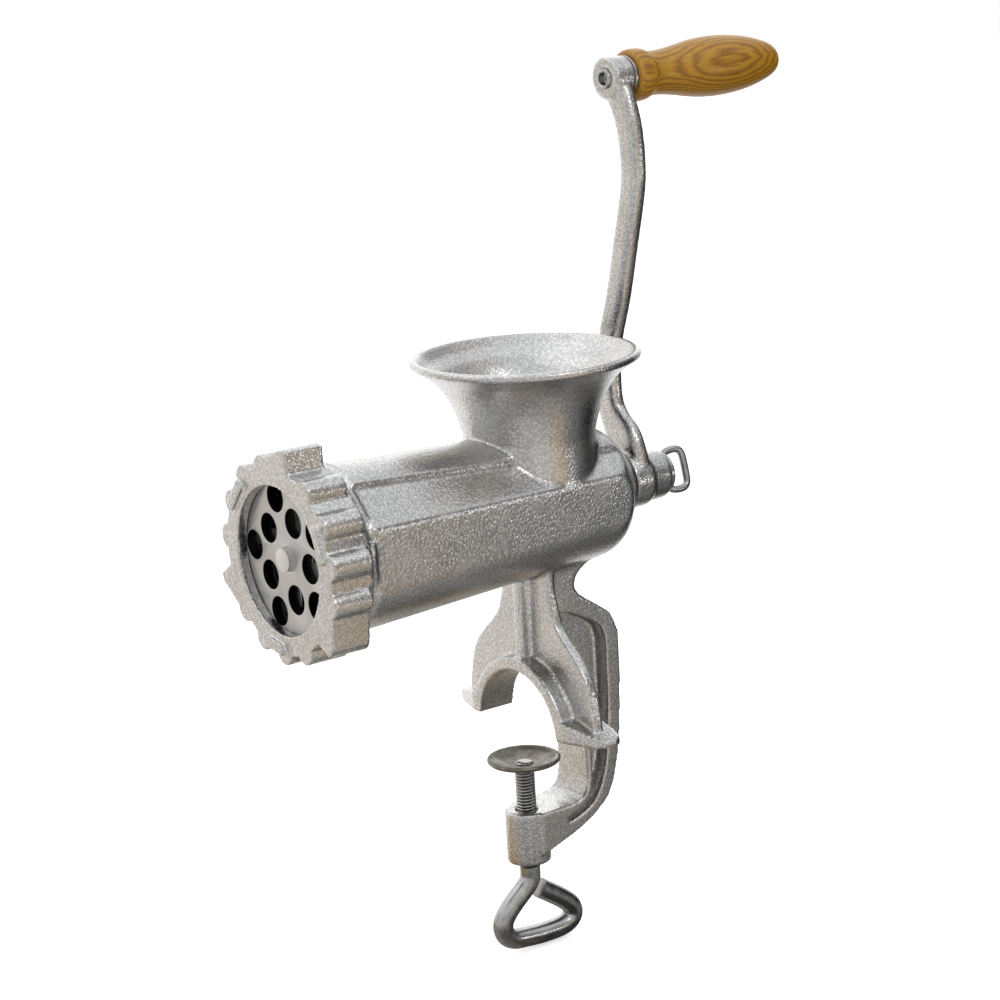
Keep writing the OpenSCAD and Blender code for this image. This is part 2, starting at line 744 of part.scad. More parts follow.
module crank_arm() {
    color("darkgray")
        difference() {
            union() {
                turned([[0, hub_y], [hub_r - edge, hub_y], [hub_r, hub_y + edge],
                    [hub_r, arm_y + arm_t / 2 - edge], [hub_r - edge / 2, arm_y + arm_t / 2],
                    [hub_waist_r, arm_y + arm_t / 2], [hub_rear_r + edge / 2, hub_end_y - edge],
                    [hub_rear_r, hub_end_y], [0, hub_end_y]]);
                for (s = round_shares)
                    plate_xz(arm_y - arm_t / 2 + arm_edge * s[1], arm_y + arm_t / 2 - arm_edge * s[1])
                        polygon(band(arm_path(), arm_edge * s[0]));
                translate([0, grip_boss_y, crank_z])
                    rotate([-90, 0, 0])
                        cylinder(h = grip_boss_len, r = grip_boss_r);
            }
            square_hole(hub_y, hub_end_y, crank_square);
            translate([0, grip_boss_y - over, crank_z])
                rotate([-90, 0, 0])
                    cylinder(h = grip_boss_len + 2 * over, r = spindle_r);
        }
}

module crank_screw_washer() {
    color("lightgray")
        difference() {
            bar(hub_end_y, thumb_y, thumb_collar_r + edge);
            bar(hub_end_y - over, thumb_y + over, thumb_screw_r + run_gap);
        }
}

module crank_screw() {
    base = thumb_y + thumb_collar_t;
    path = rounded([for (s = loop_shares) [loop_w * s[0], loop_h * s[1]]], loop_h * 0.3, 4);
    color("silver") {
        bar(hub_end_y - thumb_screw_len + over, thumb_y, thumb_screw_r);
        bar(thumb_y, base, thumb_collar_r);
        translate([0, base, axis_h])
            rotate([0, loop_turn, 0])
                rotate([-90, 90, 0])
                    rod(path, loop_rod_r);
    }
}

module grip() {
    color("peru")
        difference() {
            translate([0, grip_y, crank_z])
                rotate([-90, 0, 0])
                    rotate_extrude()
                        polygon(concat([[0, 0]],
                            [for (s = bead_shares)
                                [grip_neck_r + (bead_r - grip_neck_r) * s[1], grip_len * s[0]]],
                            [for (s = belly_shares)
                                [grip_neck_r + (grip_r - grip_neck_r) * s[1], grip_len * s[0]]],
                            [for (s = tip_shares) [grip_r * s[1], grip_len * s[0]]], [[0, grip_len]]));
            translate([0, grip_y - over, crank_z])
                rotate([-90, 0, 0])
                    cylinder(h = spindle_in + 2 * over, r = spindle_r + run_gap);
        }
}

module grip_spindle() {
    color("lightgray")
        translate([0, grip_boss_y, crank_z])
            rotate([-90, 0, 0])
                cylinder(h = grip_y + spindle_in - grip_boss_y, r = spindle_r);
}

module grip_washer() {
    color("lightgray")
        translate([0, grip_boss_end_y, crank_z])
            rotate([-90, 0, 0])
                difference() {
                    cylinder(h = grip_washer_t, r = grip_boss_r);
                    translate([0, 0, -over])
                        cylinder(h = grip_washer_t + 2 * over, r = spindle_r);
                }
}

module clamp_screw() {
    neck_z = -pad_drop - pad_dish - pad_t;
    eye_z = -jaw_h - clamp_boss_len - clamp_screw_tail;
    color("silver") {
        translate([0, 0, eye_z])
            cylinder(h = neck_z - eye_z - pad_t * 2, r = clamp_screw_r);
        translate([0, 0, eye_z])
            cylinder(h = neck_z - eye_z + pad_t + edge, r = clamp_screw_r * 0.65);
        rod(spline(concat([[0, eye_z + clamp_screw_tail / 2]],
            [for (s = eye_shares) [eye_w * s[0], eye_z + eye_h * s[1]]]), 3), eye_rod_r);
    }
}

module clamp_pad() {
    top = -pad_drop;
    mid = top - pad_dish;
    hub = clamp_screw_r + pad_t;
    color("lightgray")
        difference() {
            rotate_extrude()
                polygon([[0, mid - pad_t], [hub, mid - pad_t], [pad_r - pad_t, top - 2 * pad_t],
                    [pad_r, top - pad_t],
                    [pad_r, top - pad_t / 2], [pad_r - pad_t / 2, top], [pad_r - pad_t, top - pad_t / 3],
                    [hub + pad_t, mid + pad_t / 3], [hub, mid], [0, mid]]);
            translate([0, 0, mid - 2 * pad_t])
                cylinder(h = 4 * pad_t, r = clamp_screw_r * 0.65 + run_gap);
        }
}

body_casting();
rear_bushing();
plate_key();
feed_screw();
knife_stud();
thrust_washer();
knife();
cutting_plate();
ring_nut();
crank_arm();
crank_screw_washer();
crank_screw();
grip();
grip_spindle();
grip_washer();
clamp_screw();
clamp_pad();
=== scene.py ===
# %% [markdown]
# # A hand cranked meat grinder
# The grinder is mostly one iron casting that was tumbled and dipped in tin, so nothing on it is
# sharp and every face has a fine orange peel. Around it sit a few machined and turned pieces: the
# ground plate, the threaded nut and screws, the crank and its wooden grip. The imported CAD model
# gives every place and size. Here each visible piece gets its fillets, threads and finish.

# %% Open the frame
import json
import math

import bpy
from mathutils import Matrix, Vector


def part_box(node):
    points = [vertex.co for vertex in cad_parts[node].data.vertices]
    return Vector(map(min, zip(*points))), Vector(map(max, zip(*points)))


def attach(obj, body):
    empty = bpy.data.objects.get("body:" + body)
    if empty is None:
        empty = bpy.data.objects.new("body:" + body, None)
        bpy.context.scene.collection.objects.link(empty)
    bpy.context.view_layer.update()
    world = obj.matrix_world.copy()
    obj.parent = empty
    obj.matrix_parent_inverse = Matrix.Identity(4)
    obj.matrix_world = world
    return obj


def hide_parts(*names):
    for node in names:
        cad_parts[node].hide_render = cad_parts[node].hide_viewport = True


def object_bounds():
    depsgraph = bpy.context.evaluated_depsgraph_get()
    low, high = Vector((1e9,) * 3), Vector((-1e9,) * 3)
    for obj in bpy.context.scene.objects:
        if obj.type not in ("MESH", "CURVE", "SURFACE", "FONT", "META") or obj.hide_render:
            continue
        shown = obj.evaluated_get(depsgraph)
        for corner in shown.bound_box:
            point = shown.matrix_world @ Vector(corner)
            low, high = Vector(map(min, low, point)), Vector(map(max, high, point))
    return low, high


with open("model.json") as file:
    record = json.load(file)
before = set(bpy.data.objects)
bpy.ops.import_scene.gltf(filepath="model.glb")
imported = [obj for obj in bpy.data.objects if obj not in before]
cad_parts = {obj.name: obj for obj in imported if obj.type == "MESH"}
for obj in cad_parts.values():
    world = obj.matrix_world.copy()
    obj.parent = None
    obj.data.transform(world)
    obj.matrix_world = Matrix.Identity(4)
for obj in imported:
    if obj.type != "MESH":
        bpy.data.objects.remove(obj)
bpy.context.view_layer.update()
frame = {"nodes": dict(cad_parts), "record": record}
MM = 0.001

# %% [markdown]
# ## Sizes read from the CAD pieces
# A new piece has to stand exactly where its CAD twin stands. Its box gives two corners, and from
# these come the barrel's axis, the screw's tip or the middle of the grip, with nothing typed twice.

# %% Stations taken from the boxes
def middle(node):
    low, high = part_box(node)
    return (Vector(low) + Vector(high)) / 2


axis_z = middle("rear_bushing").z
grip_z = middle("grip_washer").z
washer_low, washer_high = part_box("crank_screw_washer")
thumb_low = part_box("crank_screw")[0]
grip_low, grip_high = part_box("grip")
spindle_low, spindle_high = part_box("grip_spindle")
pad_low, pad_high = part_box("clamp_pad")
clamp_low, clamp_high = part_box("clamp_screw")
nut_low, nut_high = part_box("ring_nut")
print("barrel axis at z", round(axis_z, 4), "grip axis at z", round(grip_z, 4))
print("the ring nut is", round((nut_high[0] - nut_low[0]) / MM, 1), "mm wide")

# %% [markdown]
# ## Working by hand, in code
# Operators act on whatever is selected, and the frame comes in selected, so each step starts by
# clearing the selection. Modifiers are applied as soon as they have done their work, which keeps
# every finished piece a plain mesh whose object sits at the origin.

# %% Helpers to pick pieces and apply modifiers
def pick(*pieces):
    if bpy.context.object and bpy.context.object.mode != "OBJECT":
        bpy.ops.object.mode_set(mode="OBJECT")
    bpy.ops.object.select_all(action="DESELECT")
    for piece in pieces:
        piece.select_set(True)
    if pieces:
        bpy.context.view_layer.objects.active = pieces[0]


def finish_with(piece, kind, **settings):
    modifier = piece.modifiers.new(kind.lower(), kind)
    for key, value in settings.items():
        setattr(modifier, key, value)
    pick(piece)
    bpy.ops.object.modifier_apply(modifier=modifier.name)


def settle(piece, name):
    pick(piece)
    bpy.ops.object.transform_apply(location=True, rotation=True, scale=True)
    piece.name = name
    piece.data.name = name
    return piece


def tell(piece):
    count = sum(len(face.vertices) - 2 for face in piece.data.polygons)
    print(piece.name, "has", count, "triangles")


# %% [markdown]
# ## Copies of CAD pieces
# A casting's main shape is already right in CAD, but its edges are razor sharp. A real casting
# comes out of a sand mould and a tumbling barrel with every edge rolled over and every inner corner
# filled. Modelling each fillet would take hundreds of bevels. A voxel remesh wraps the whole shape
# in an even net of small faces, and smoothing that net rounds edges and fills corners in one go.

# %% Copy and recast helpers
def copied(node, name):
    piece = bpy.data.objects.new(name, frame["nodes"][node].data.copy())
    bpy.context.collection.objects.link(piece)
    piece.data.materials.clear()
    pick(piece)
    bpy.ops.object.mode_set(mode="EDIT")
    bpy.ops.mesh.select_all(action="SELECT")
    bpy.ops.mesh.remove_doubles(threshold=0.00001)
    bpy.ops.object.mode_set(mode="OBJECT")
    return piece


def recast(node, name, net, passes):
    piece = copied(node, name)
    finish_with(piece, "REMESH", mode="VOXEL", voxel_size=net * MM, use_smooth_shade=True)
    finish_with(piece, "SMOOTH", factor=0.5, iterations=passes)
    return piece


def machined(node, name, edge):
    piece = copied(node, name)
    pick(piece)
    bpy.ops.object.mode_set(mode="EDIT")
    bpy.ops.mesh.select_all(action="SELECT")
    bpy.ops.mesh.dissolve_limited(angle_limit=math.radians(1))
    bpy.ops.object.mode_set(mode="OBJECT")
    finish_with(piece, "BEVEL", width=edge * MM, segments=2, limit_method="ANGLE",
                angle_limit=math.radians(40))
    pick(piece)
    bpy.ops.object.shade_smooth_by_angle(angle=math.radians(35))
    return piece


# %% [markdown]
# ## The casting
# Barrel, hopper, legs and C-frame are one piece of iron. After the net is drawn, the joints where
# the hopper and the legs grow out of the barrel need wider fillets than the edges do, and the feet
# stay crisp where they were ground flat. Two vertex groups mark these zones by their place.

# %% Cast body with wider fillets at its joints
HOPPER_Y = 13 * MM
mouth_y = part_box("cutting_plate")[0][1] + 1.5 * MM
casting = recast("body_casting", "casting_skin", 0.8, 1)
soft = casting.vertex_groups.new(name="soft")
fillet = casting.vertex_groups.new(name="fillet")
throat = Vector((0, HOPPER_Y))
THROAT_R, BARREL_R, SOLE = 29 * MM, 34 * MM, 12 * MM
for vertex in casting.data.vertices:
    x, y, z = vertex.co
    above, below = z - axis_z, axis_z - z
    on_foot = z < SOLE and y < 18 * MM and abs(x) > 18 * MM
    from_throat = abs((Vector((x, y)) - throat).length - THROAT_R)
    at_neck = max(0, 1 - from_throat / (9 * MM)) if 18 * MM < above < 44 * MM else 0
    under = max(0, 1 - abs(below - BARREL_R) / (14 * MM)) if 2 * MM < y < 45 * MM else 0
    along = 0.4 if abs(above) < 36 * MM and mouth_y + 22 * MM < y < 60 * MM else 0
    soft.add([vertex.index], 0.12 if on_foot else 1, "REPLACE")
    fillet.add([vertex.index], min(1, max(at_neck, under, along)), "REPLACE")
finish_with(casting, "SMOOTH", factor=0.5, iterations=6, vertex_group="soft")
finish_with(casting, "SMOOTH", factor=0.5, iterations=30, vertex_group="fillet")
finish_with(casting, "DECIMATE", ratio=0.4)
tell(casting)

# %% [markdown]
# ## Threads
# A thread is a ridge that climbs round a bar at a steady rate. By hand it is a small three sided
# circle, set beside the axis and carried round it by the Screw modifier, which lifts it by one pitch
# in each turn. The ridge overlaps a plain core, so both read as one cut bar.

# %% Thread ridge and turned bars
def ridge(name, radius, pitch, turns, start, steps=32):
    pick()
    bpy.ops.mesh.primitive_circle_add(vertices=3, radius=pitch * 0.55, location=(radius, 0, start),
                                      rotation=(math.pi / 2, math.pi / 6, 0))
    piece = settle(bpy.context.object, name)
    finish_with(piece, "SCREW", axis="Z", angle=2 * math.pi, screw_offset=pitch, iterations=turns,
                steps=steps, render_steps=steps, use_merge_vertices=True)
    bpy.ops.object.mode_set(mode="EDIT")
    bpy.ops.mesh.select_all(action="SELECT")
    bpy.ops.mesh.fill_holes(sides=4)
    bpy.ops.mesh.normals_make_consistent(inside=False)
    bpy.ops.object.mode_set(mode="OBJECT")
    return piece


def turned(name, stations, sides=96, through=False):
    height, radius = stations[0]
    pick()
    bpy.ops.mesh.primitive_circle_add(vertices=sides, radius=radius, fill_type="NGON",
                                      location=(0, 0, height))
    piece = settle(bpy.context.object, name)
    bpy.ops.object.mode_set(mode="EDIT")
    bpy.ops.mesh.select_all(action="SELECT")
    for next_height, next_radius in stations[1:]:
        bpy.ops.mesh.extrude_region_move(TRANSFORM_OT_translate={"value": (0, 0, next_height - height)})
        share = next_radius / radius
        bpy.ops.transform.resize(value=(share, share, 1), center_override=(0, 0, next_height))
        height, radius = next_height, next_radius
    if through:
        bpy.ops.mesh.delete(type="ONLY_FACE")
        bpy.ops.mesh.select_mode(type="FACE")
        bpy.ops.mesh.select_face_by_sides(number=sides)
        bpy.ops.mesh.delete(type="ONLY_FACE")
        bpy.ops.mesh.select_mode(type="EDGE")
        bpy.ops.mesh.select_non_manifold()
        bpy.ops.mesh.bridge_edge_loops()
        bpy.ops.mesh.select_mode(type="VERT")
    bpy.ops.mesh.select_all(action="SELECT")
    bpy.ops.mesh.normals_make_consistent(inside=False)
    bpy.ops.object.mode_set(mode="OBJECT")
    bpy.ops.object.shade_smooth_by_angle(angle=math.radians(40))
    return piece


def join(name, *pieces):
    pick(*pieces)
    bpy.ops.object.join()
    return settle(bpy.context.object, name)


def lay_along_barrel(piece, z):
    piece.data.transform(Matrix.Translation((0, 0, z)) @ Matrix.Rotation(-math.pi / 2, 4, "X"))
    return piece


# %% [markdown]
# ## The thread on the barrel's mouth
# It only shows when the ring nut is backed off. The tumbled net is too coarse there, so the mouth
# is first drawn in a little, and then the ridge sits on it at a pitch of two millimetres.

# %% Mouth of the barrel
MOUTH_R, ROOT_R, MOUTH_LEN, MOUTH_PITCH = 37.2 * MM, 36.2 * MM, 14 * MM, 2 * MM
for vertex in casting.data.vertices:
    x, y, z = vertex.co
    out = math.hypot(x, z - axis_z)
    if y < mouth_y + MOUTH_LEN and out > ROOT_R:
        vertex.co = (x * ROOT_R / out, y, axis_z + (z - axis_z) * ROOT_R / out)
mouth_thread = ridge("barrel_thread", MOUTH_R - 0.9 * MM, MOUTH_PITCH, 6, mouth_y + 1.5 * MM, 128)
lay_along_barrel(mouth_thread, axis_z)
tell(mouth_thread)

# %% [markdown]
# ## Ring nut, crank arm and feed screw
# These are cast and tumbled like the body, but finer, so they get a closer net. The ring nut keeps
# its soft lobes and three lugs. The arm is soft along its length and crisp at its hub and at the
# boss of its grip, whose faces were cut flat, so a vertex group holds both back from the last
# smoothing.

# %% Smaller castings
ring = recast("ring_nut", "ring_skin", 0.6, 5)
arm = recast("crank_arm", "crank_skin", 0.8, 4)
long_part = arm.vertex_groups.new(name="long_part")
for vertex in arm.data.vertices:
    x, y, z = vertex.co
    from_boss = min(math.hypot(x, z - grip_z), math.hypot(x, z - axis_z)) - 11 * MM
    long_part.add([vertex.index], min(1, max(0.1, from_boss / (6 * MM))), "REPLACE")
finish_with(arm, "SMOOTH", factor=0.5, iterations=12, vertex_group="long_part")
worm = recast("feed_screw", "worm_skin", 1.1, 6)
for piece in (ring, arm, worm):
    tell(piece)

# %% [markdown]
# ## Machined pieces
# The plate, knife and stud are cut and ground, so they keep flat faces and get only a thin bevel
# that catches the light, as a deburred edge does.

# %% Ground plate, knife and stud
plate = machined("cutting_plate", "plate_ground", 0.25)
knife = machined("knife", "knife_ground", 0.3)
stud = machined("knife_stud", "stud_ground", 0.6)
bush = machined("rear_bushing", "bush_moulded", 0.4)
for piece in (plate, knife, stud, bush):
    tell(piece)

# %% [markdown]
# ## The wooden grip
# The grip was turned on a lathe: a bead against the crank, a slim neck, a full belly and a rounded
# tip. A circle extruded from station to station and scaled at each one does what the turner does,
# and one level of subdivision rounds the steps between the stations.

# %% Turned grip
GRIP_R = (grip_high[0] - grip_low[0]) / 2
grip_len = grip_high[1] - grip_low[1]
grip_shares = ((0, 0.34), (0, 0.80), (0.012, 0.845), (0.05, 0.86), (0.082, 0.85), (0.1, 0.82),
               (0.112, 0.765), (0.135, 0.73), (0.17, 0.717), (0.21, 0.73), (0.25, 0.75), (0.31, 0.81),
               (0.37, 0.88), (0.43, 0.945), (0.5, 0.985), (0.57, 1.0), (0.64, 0.985), (0.71, 0.94),
               (0.78, 0.88), (0.84, 0.79), (0.89, 0.7), (0.93, 0.615), (0.96, 0.52), (0.98, 0.43),
               (0.993, 0.32), (1, 0.19))
grip = turned("grip_turned", [(share * grip_len, radius * GRIP_R) for share, radius in grip_shares], 64)
lay_along_barrel(grip, grip_z)
grip.data.transform(Matrix.Translation((0, grip_low[1], 0)))
finish_with(grip, "SUBSURF", levels=1, render_levels=1)
pick(grip)
bpy.ops.object.shade_smooth()
tell(grip)

# %% [markdown]
# ## Spindle and washers
# The spindle's front end is hammered over the arm like a hollow rivet, so a raised ring with a deep
# well in it shows in the face of the arm's boss, and a small dome lies at the bottom of the well.

# %% Riveted spindle and turned washers
front = spindle_low[1]
SPINDLE_R = 3.95 * MM
rivet = [(1.4, 0.7), (1.5, 1.3), (2.2, 1.9), (2.5, 2.5), (2.2, 2.8), (-0.8, 2.9), (-1.1, 3.3),
         (-0.9, 4.1), (-0.2, 4.6), (0.25, 4.6)]
spindle_len = spindle_high[1] - front
bar = [(0.3 * MM, SPINDLE_R), (spindle_len - 0.5 * MM, SPINDLE_R), (spindle_len, 3.4 * MM)]
spindle = turned("spindle_turned", [(place * MM, radius * MM) for place, radius in rivet] + bar, 48)
lay_along_barrel(spindle, grip_z)
spindle.data.transform(Matrix.Translation((0, front, 0)))


def washer(name, low, high, bore, z):
    outer, thick, soft = (high[0] - low[0]) / 2, high[1] - low[1], 0.25 * MM
    stations = [(0, bore), (0, outer - soft), (soft, outer), (thick - soft, outer),
                (thick, outer - soft), (thick, bore)]
    piece = turned(name, stations, 64, through=True)
    lay_along_barrel(piece, z)
    piece.data.transform(Matrix.Translation((0, low[1], 0)))
    return piece


thumb_washer = washer("thumb_washer_turned", washer_low, washer_high, 4.2 * MM, axis_z)
grip_washer = washer("grip_washer_turned", *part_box("grip_washer"), 4.05 * MM, grip_z)
for piece in (spindle, thumb_washer, grip_washer):
    tell(piece)

# %% [markdown]
# ## Bent rods
# The clamp screw's eye and the thumb screw's loop are round rods bent round a former. A curve with
# a round bevel is the quickest way to draw a bent rod, and it is made a mesh once it is in place.

# %% Rod helper
def rod(name, path, radius, sides=8):
    line = bpy.data.curves.new(name, "CURVE")
    line.dimensions = "3D"
    line.bevel_depth = radius
    line.bevel_resolution = sides
    line.use_fill_caps = True
    line.resolution_u = 6
    spline = line.splines.new("NURBS")
    spline.points.add(len(path) - 1)
    for point, place in zip(spline.points, path):
        point.co = (*place, 1)
    spline.use_endpoint_u = True
    spline.order_u = 3
    piece = bpy.data.objects.new(name, line)
    bpy.context.collection.objects.link(piece)
    pick(piece)
    bpy.ops.object.convert(target="MESH")
    piece = bpy.context.object
    bpy.ops.object.mode_set(mode="EDIT")
    bpy.ops.mesh.select_all(action="SELECT")
    bpy.ops.mesh.remove_doubles(threshold=0.00002)
    bpy.ops.mesh.normals_make_consistent(inside=False)
    bpy.ops.object.mode_set(mode="OBJECT")
    bpy.ops.object.shade_smooth_by_angle(angle=math.radians(40))
    return settle(piece, name)


# %% [markdown]
# ## The clamp screw
# A rolled thread of one and a half millimetres runs from the pad down through the boss, and the rod
# below it is bent into a triangular eye whose cut end rests against the shank.

# %% Clamp screw with its eye
SCREW_R = 4.9 * MM
pad_under = pad_low[2]
shank_low = clamp_low[2] + 33 * MM
SCREW_CORE_R = 4.25 * MM
NECK_R = 3.15 * MM
tip = clamp_high[2]
core = turned("clamp_core", [(shank_low, 3.9 * MM), (shank_low + 0.6 * MM, SCREW_CORE_R),
                             (pad_under - 2 * MM, SCREW_CORE_R), (pad_under - 1.2 * MM, 4.6 * MM),
                             (pad_under, 4.6 * MM), (pad_under, NECK_R), (tip - 0.8 * MM, NECK_R),
                             (tip - 0.75 * MM, 4.3 * MM), (tip - 0.3 * MM, 3.9 * MM),
                             (tip, 2.4 * MM)], 48)
turns = int((pad_under - 3 * MM - shank_low) / (1.5 * MM))
coil = ridge("clamp_ridge", SCREW_R - 0.83 * MM, 1.5 * MM, turns, shank_low + 0.3 * MM, 48)
eye_shares = ((0, 0.1), (0, 0), (0, -0.09), (-0.07, -0.205), (-0.2, -0.33), (-0.36, -0.51),
              (-0.43, -0.66), (-0.41, -0.83), (-0.3, -0.94), (-0.16, -0.965), (0.135, -1), (0.45, -0.99),
              (0.57, -0.89), (0.575, -0.75), (0.49, -0.62), (0.315, -0.455), (0.16, -0.325),
              (0.11, -0.28))
eye_top = clamp_low[2] + 36.2 * MM
eye = rod("clamp_eye", [(0, 40 * MM * y, eye_top + 31.5 * MM * z) for y, z in eye_shares], 4.65 * MM)
clamp = join("clamp_screw_turned", core, coil, eye)
tell(clamp)

# %% [markdown]
# ## The clamp pad
# The pad is a disc pressed from sheet into a shallow dish with a rolled rim and a collar in the
# middle that the screw's tip is riveted into.

# %% Pressed pad
PAD_R = (pad_high[0] - pad_low[0]) / 2
top, low = pad_high[2], pad_low[2]
PAD_BORE = 3.3 * MM
under_dish = [(low, PAD_BORE), (low, 6.2 * MM), (low + 0.5 * MM, 6.9 * MM), (low + 1.0 * MM, 8.5 * MM),
              (low + 1.7 * MM, 11.5 * MM), (low + 2.1 * MM, PAD_R - 2.6 * MM)]
rim = [(top - 2.3 * MM, PAD_R - 0.9 * MM), (top - 1.5 * MM, PAD_R - 0.1 * MM), (top - 0.8 * MM, PAD_R),
       (top - 0.2 * MM, PAD_R - 0.4 * MM), (top, PAD_R - 1.1 * MM), (top - 0.2 * MM, PAD_R - 1.9 * MM),
       (top - 1.0 * MM, PAD_R - 2.9 * MM)]
in_dish = [(low + 3.0 * MM, 11.8 * MM), (low + 2.3 * MM, 8.6 * MM), (low + 1.9 * MM, 6.6 * MM),
           (low + 1.8 * MM, PAD_BORE)]
pad = turned("pad_pressed", under_dish + rim + in_dish, 96, through=True)
tell(pad)

# %% [markdown]
# ## The thumb screw
# A short screw with a round collar holds the crank on its square. A loop of wire on the collar lets
# a finger turn it.

# %% Thumb screw with its loop
base = washer_high[1]
COLLAR, COLLAR_R, THUMB_CORE_R = 2 * MM, 9 * MM, 3.4 * MM
shank = turned("thumb_core", [(thumb_low[1], 3.0 * MM), (thumb_low[1] + 0.8 * MM, THUMB_CORE_R),
                              (base, THUMB_CORE_R), (base, 8.6 * MM), (base + 0.4 * MM, COLLAR_R),
                              (base + 1.5 * MM, COLLAR_R), (base + COLLAR, 8.3 * MM)], 64)
coil = ridge("thumb_ridge", 4 * MM - 0.7 * MM, 1.25 * MM, 13, thumb_low[1] + 1 * MM, 32)
LOOP_TURN = math.radians(-15)
LOOP_WIDE, LOOP_LONG = 18.6 * MM, 12.4 * MM
loop_shares = ((-0.36, -0.06), (-0.47, 0.2), (-0.5, 0.45), (-0.5, 0.75), (-0.42, 0.95), (-0.25, 1.0),
               (0.25, 1.0), (0.42, 0.95), (0.5, 0.75), (0.5, 0.45), (0.47, 0.2), (0.36, -0.06))
loop_path = [(0, LOOP_WIDE * across, base + COLLAR + LOOP_LONG * out) for across, out in loop_shares]
loop = rod("thumb_loop", loop_path, 1.8 * MM, 6)
loop.data.transform(Matrix.Rotation(LOOP_TURN, 4, "Z"))
thumb = join("thumb_screw_turned", shank, coil, loop)
lay_along_barrel(thumb, axis_z)
tell(thumb)

# %% [markdown]
# ## What moves with what
# Each new piece rides on the CAD body that carries it and stands for its CAD twin, so the crank
# turns with its worm and knife, and the nut with nothing else.

# %% Ride, replace and slot
roles = ((casting, "casting", "body_casting", "tinned_iron"), (ring, "nut", "ring_nut", "tinned_iron"),
         (arm, "drive", "crank_arm", "tinned_iron"), (worm, "drive", "feed_screw", "tinned_iron"),
         (plate, "plate", "cutting_plate", "ground_steel"), (knife, "drive", "knife", "ground_steel"),
         (stud, "drive", "knife_stud", "ground_steel"), (bush, "casting", "rear_bushing", "nylon"),
         (grip, "handle", "grip", "oak"), (spindle, "drive", "grip_spindle", "zinc_steel"),
         (grip_washer, "drive", "grip_washer", "zinc_steel"),
         (thumb_washer, "thumb_washer", "crank_screw_washer", "zinc_steel"),
         (thumb, "thumb_screw", "crank_screw", "zinc_steel"),
         (clamp, "clamp", "clamp_screw", "zinc_steel"),
         (pad, "pad", "clamp_pad", "bare_steel"), (mouth_thread, "casting", None, "tinned_iron"))
for piece, body, node, finish in roles:
    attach(piece, body)
    if node:
        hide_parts(node)
print(len(roles), "pieces ride on their bodies")

# %% [markdown]
# ## Finishes
# Colours are written as they look on a screen and turned to linear light in one place. One small
# function adds a node, sets its ramp stops and sockets, and plugs in its links, so each finish below
# reads from top to bottom like a recipe. A socket is named, or numbered as i0, i1 and so on where a
# node has several of one name. The two Mix settings at the top blend colours and multiply them.

# %% Colour and node helpers
BLEND = {"data_type": "RGBA"}
MULTIPLY = {"data_type": "RGBA", "blend_type": "MULTIPLY"}


def linear(hex_colour):
    parts = [int(hex_colour[i:i + 2], 16) / 255 for i in (1, 3, 5)]
    return (*[part / 12.92 if part <= 0.04045 else ((part + 0.055) / 1.055) ** 2.4 for part in parts], 1)


def add(tree, kind, settings=None, stops=(), **sockets):
    node = tree.nodes.new("ShaderNode" + kind)
    for key, value in (settings or {}).items():
        setattr(node, key, value)
    while stops and len(node.color_ramp.elements) < len(stops):
        node.color_ramp.elements.new(0.5)
    for element, (position, colour) in zip(node.color_ramp.elements if stops else (), stops):
        element.position = position
        element.color = linear(colour) if isinstance(colour, str) else (colour, colour, colour, 1)
    for key, value in sockets.items():
        numbered = key[0] == "i" and key[1:].isdigit()
        socket = node.inputs[int(key[1:]) if numbered else key.replace("_", " ")]
        if isinstance(value, bpy.types.NodeSocket):
            tree.links.new(value, socket)
        else:
            socket.default_value = value
    return node


def finish_named(name):
    material = bpy.data.materials.new(name)
    material.use_nodes = True
    tree = material.node_tree
    tree.nodes.clear()
    place = add(tree, "TexCoord").outputs["Object"]
    return material, tree, place


# %% [markdown]
# ### Tinned cast iron
# The iron is cast in sand, tumbled and dipped in molten tin. The sand leaves rounded grains a
# millimetre or so across and the tin runs over them, so the surface is bright but broken into small
# soft glints. A cell pattern gives the domes, and the valleys between them are painted greyer as
# painted shade; the low spots of the fine grit are painted darker in the same way.

# %% Tinned cast iron
def tinned_cast_iron():
    material, tree, place = finish_named("tinned_cast_iron")
    GRAIN, GRIT, WAVE = 1.25 * MM, 0.6 * MM, 18 * MM
    grains = add(tree, "TexVoronoi", {"feature": "SMOOTH_F1"}, Vector=place, Scale=1 / GRAIN,
                 Smoothness=0.5, Randomness=1.0).outputs["Distance"]
    fine = add(tree, "TexNoise", Vector=place, Scale=1 / GRIT, Detail=2, Roughness=0.6).outputs["Fac"]
    waves = add(tree, "TexNoise", Vector=place, Scale=1 / WAVE, Detail=3, Roughness=0.5).outputs["Fac"]
    clean = add(tree, "ValToRGB", stops=((0.3, "#D6D5D4"), (0.7, "#E2E1E0")), Fac=waves).outputs[0]
    # painted shade: the colour is darker in the valleys between the grains, where the domes' bump sinks
    pits = add(tree, "ValToRGB", stops=((0.15, 1.0), (0.6, 0.7)), Fac=grains).outputs[0]
    grey = add(tree, "Mix", MULTIPLY, i0=1.0, i6=clean, i7=pits).outputs[2]
    # painted shade: the colour is darker in the low spots of the fine grit, where the skin bump sinks
    painted_grit_shade = add(tree, "ValToRGB", stops=((0.35, 0.75), (0.5, 0.95), (0.62, 1.0)), Fac=fine).outputs[0]
    colour = add(tree, "Mix", MULTIPLY, i0=1.0, i6=grey, i7=painted_grit_shade).outputs[2]
    rough = add(tree, "MapRange", Value=waves, i1=0.3, i2=0.7, i3=0.2, i4=0.3).outputs[0]
    domes = add(tree, "Bump", {"invert": True}, Height=grains, Strength=1.0,
                Distance=0.11 * MM).outputs[0]
    skin = add(tree, "Bump", Height=fine, Strength=1.0, Distance=0.07 * MM, Normal=domes).outputs[0]
    shader = add(tree, "BsdfPrincipled", Base_Color=colour, Metallic=1.0, Roughness=rough, Normal=skin)
    add(tree, "OutputMaterial", Surface=shader.outputs[0])
    return material


